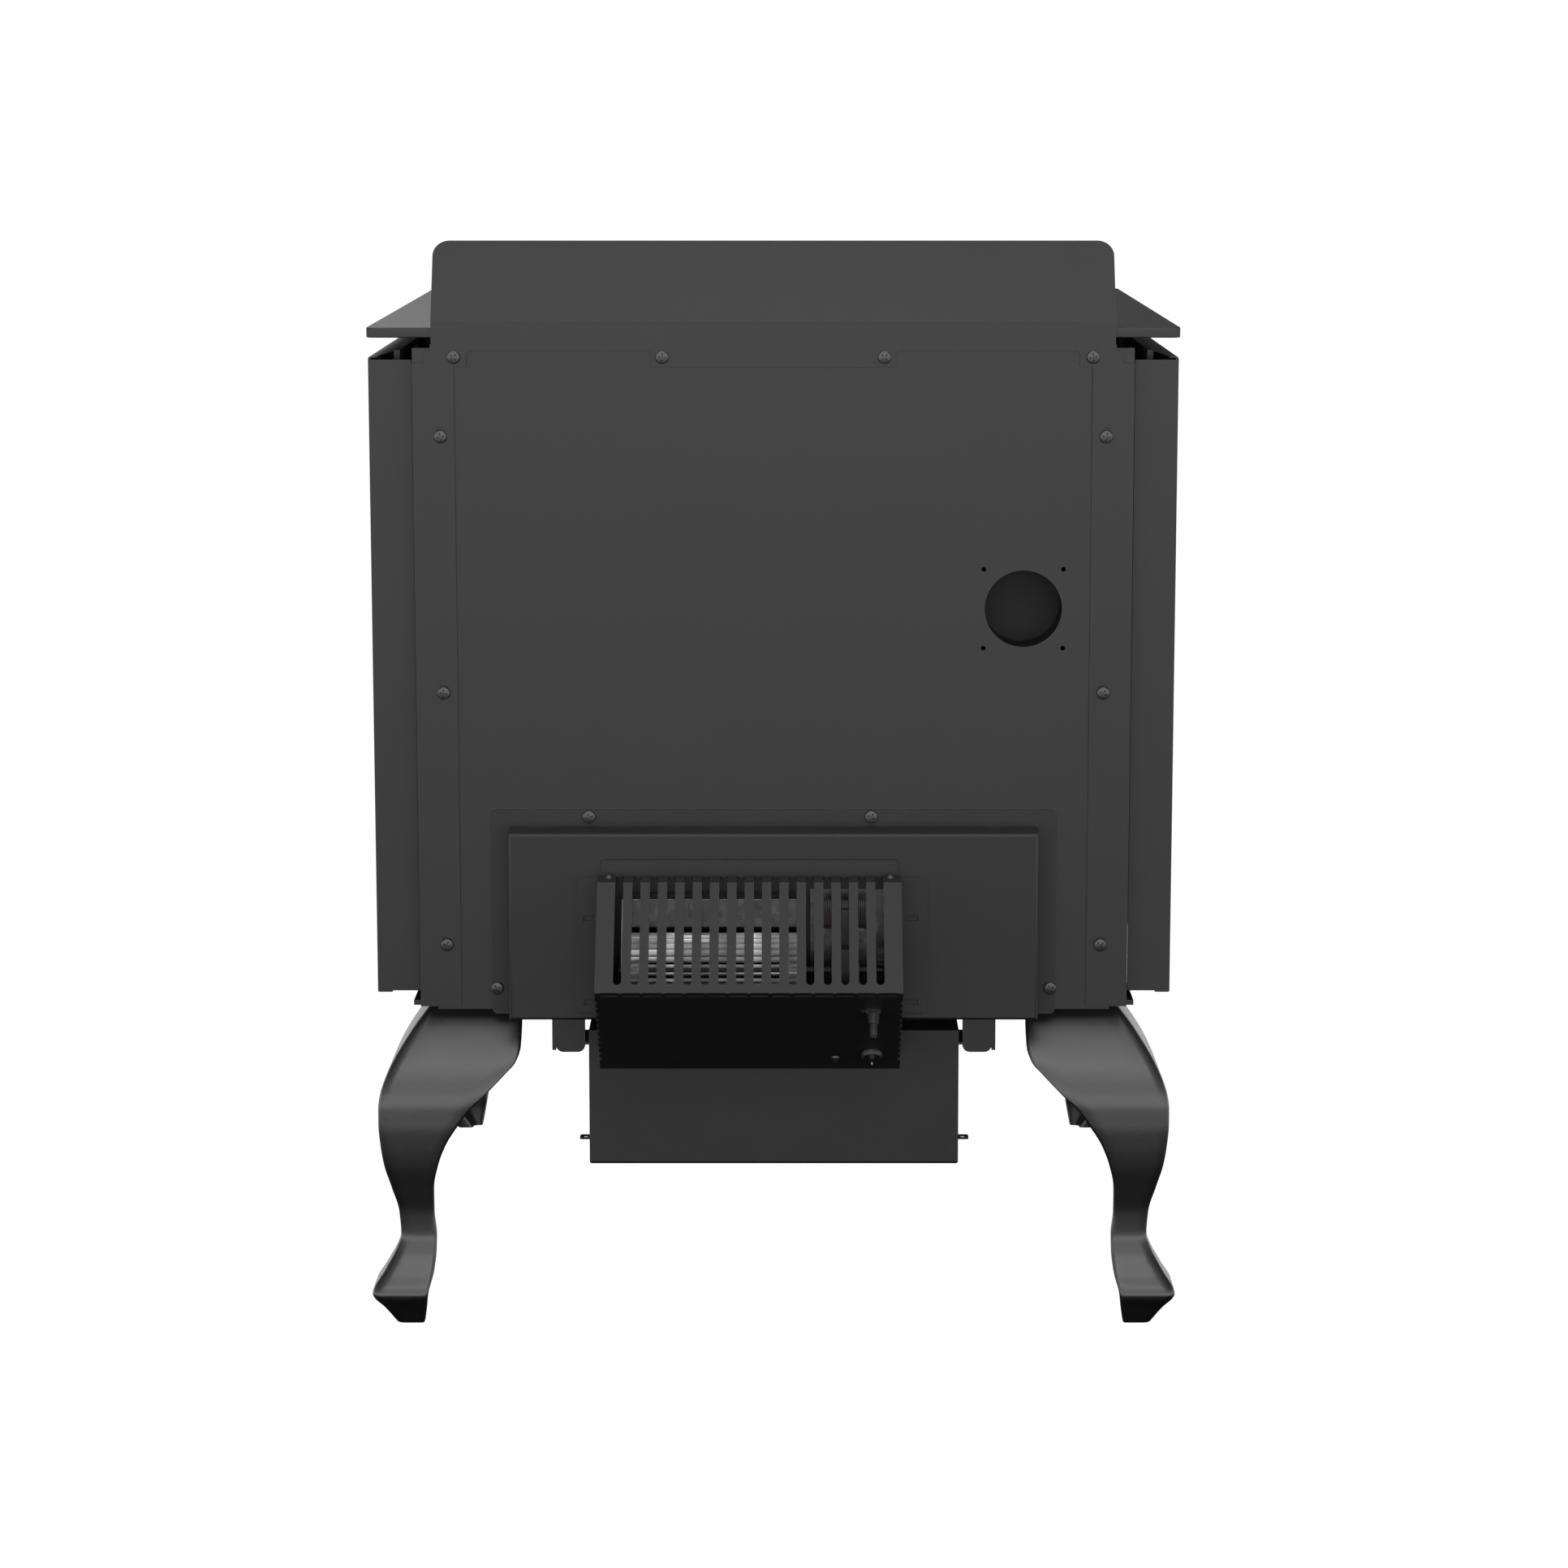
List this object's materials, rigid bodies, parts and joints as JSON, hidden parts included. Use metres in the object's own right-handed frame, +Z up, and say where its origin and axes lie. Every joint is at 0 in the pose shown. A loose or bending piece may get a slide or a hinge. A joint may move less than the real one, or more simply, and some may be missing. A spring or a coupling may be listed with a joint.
{
  "type": "wood burning stove",
  "caption": "Free-standing plate-steel wood burning stove on curved cast legs, with a hinged glass door, an ash drawer and a rear circulation blower.",
  "frame": {"origin": "on the floor, under the middle of the overall outline", "axes": "+Z up, the door faces -Y and the blower is on the +Y side, +X is on the right seen from the door"},
  "size_m": [0.645, 0.7736, 0.8674],
  "materials": {
    "black_paint": "satin black heat-resistant paint on sheet and plate steel",
    "cast_iron": "cast iron under satin black heat-resistant paint",
    "bare_steel": "mill-finish steel, slightly heat-tinted",
    "zinc_sheet": "dark zinc-plated sheet",
    "black_screws": "black oxide screws",
    "bright_aluminium": "bright rolled aluminium blades",
    "firebrick": "pumice firebrick, matte",
    "fibre_board": "vermiculite board, matte",
    "fibre_rope": "graphite-treated glass fibre",
    "clear_glass": "ceramic glass, clear with a faint warm tint",
    "turned_wood": "oiled hardwood grip",
    "black_plastic": "black glass-filled nylon",
    "cord_rubber": "black rubber jacket",
    "coil_lacquer": "winding under dark varnished tape"
  },
  "bodies": {
    "stove": {"base_plate": "black_paint", "firebox_shell": "black_paint", "front_face": "cast_iron", "top_plate": "black_paint", "top_plate_spacers": "bare_steel", "flue_collar": "cast_iron", "flue_collar_bolts": "black_screws", "ash_lip": "black_paint", "side_panel_right": "black_paint", "side_panel_left": "black_paint", "side_panel_hooks": "black_paint", "rear_frame": "black_paint", "rear_panel": "black_paint", "rear_screws": "black_screws", "rear_channels": "black_paint", "port_duct": "black_paint", "air_box": "black_paint", "blower_mount_plate": "black_paint", "blower_cage": "black_paint", "cage_screws": "black_screws", "blower_scroll": "zinc_sheet", "motor_core": "bare_steel", "motor_coil": "coil_lacquer", "motor_bracket": "zinc_sheet", "terminal_block": "black_plastic", "speed_control": "black_plastic", "strain_relief": "black_plastic", "supply_cord_stub": "cord_rubber", "leg_front_left": "cast_iron", "leg_front_right": "cast_iron", "leg_rear_left": "cast_iron", "leg_rear_right": "cast_iron", "leg_bolts": "black_screws", "ash_box": "black_paint", "ash_box_hangers": "black_paint", "floor_bricks": "firebrick", "wall_bricks": "firebrick", "side_air_channels": "bare_steel", "secondary_air_tubes": "bare_steel", "baffle_boards": "fibre_board", "baffle_blanket": "fibre_rope", "door_hinge_lugs": "black_paint", "door_hinge_pins": "bare_steel", "latch_keeper": "black_paint", "damper_guides": "black_paint"},
    "door": {"door_frame": "cast_iron", "door_glass": "clear_glass", "glass_gasket": "fibre_rope", "glass_clips": "bare_steel", "door_gasket": "fibre_rope"},
    "door_handle": {"door_handle_rod": "bare_steel", "door_handle_grip": "turned_wood"},
    "air_damper": {"air_damper": "black_paint", "air_damper_knob": "black_plastic"},
    "ash_drawer": {"ash_drawer": "black_paint", "ash_drawer_front": "black_paint"},
    "ash_plug": {"ash_plug": "cast_iron"},
    "blower_wheel": {"blower_wheel": "bright_aluminium", "blower_shaft": "bare_steel"},
    "speed_knob": {"speed_knob": "black_plastic"}
  },
  "joints": [
    {"name": "door_hinge", "type": "hinge", "parent": "stove", "child": "door", "pos_m": [0.246, -0.31, 0.495], "axis": [0, 0, 1], "range_deg": [0, 110]},
    {"name": "door_handle_turn", "type": "hinge", "parent": "door", "child": "door_handle", "pos_m": [-0.212, -0.321, 0.495], "axis": [0, 1, 0], "range_deg": [0, 60]},
    {"name": "air_control_slide", "type": "slide", "parent": "stove", "child": "air_damper", "axis": [1, 0, 0], "range_m": [-0.028, 0.028]},
    {"name": "ash_drawer_slide", "type": "slide", "parent": "stove", "child": "ash_drawer", "axis": [0, -1, 0], "range_m": [0, 0.4]},
    {"name": "ash_plug_lift", "type": "slide", "parent": "stove", "child": "ash_plug", "axis": [0, 0, 1], "range_m": [0, 0.12]},
    {"name": "blower_spin", "type": "hinge", "parent": "stove", "child": "blower_wheel", "pos_m": [-0.0194, 0.336, 0.3035], "axis": [1, 0, 0], "continuous": true},
    {"name": "speed_knob_turn", "type": "hinge", "parent": "stove", "child": "speed_knob", "pos_m": [-0.0775, 0.32234, 0.23398], "axis": [0, 0.6997, -0.7144], "range_deg": [0, 270]}
  ]
}
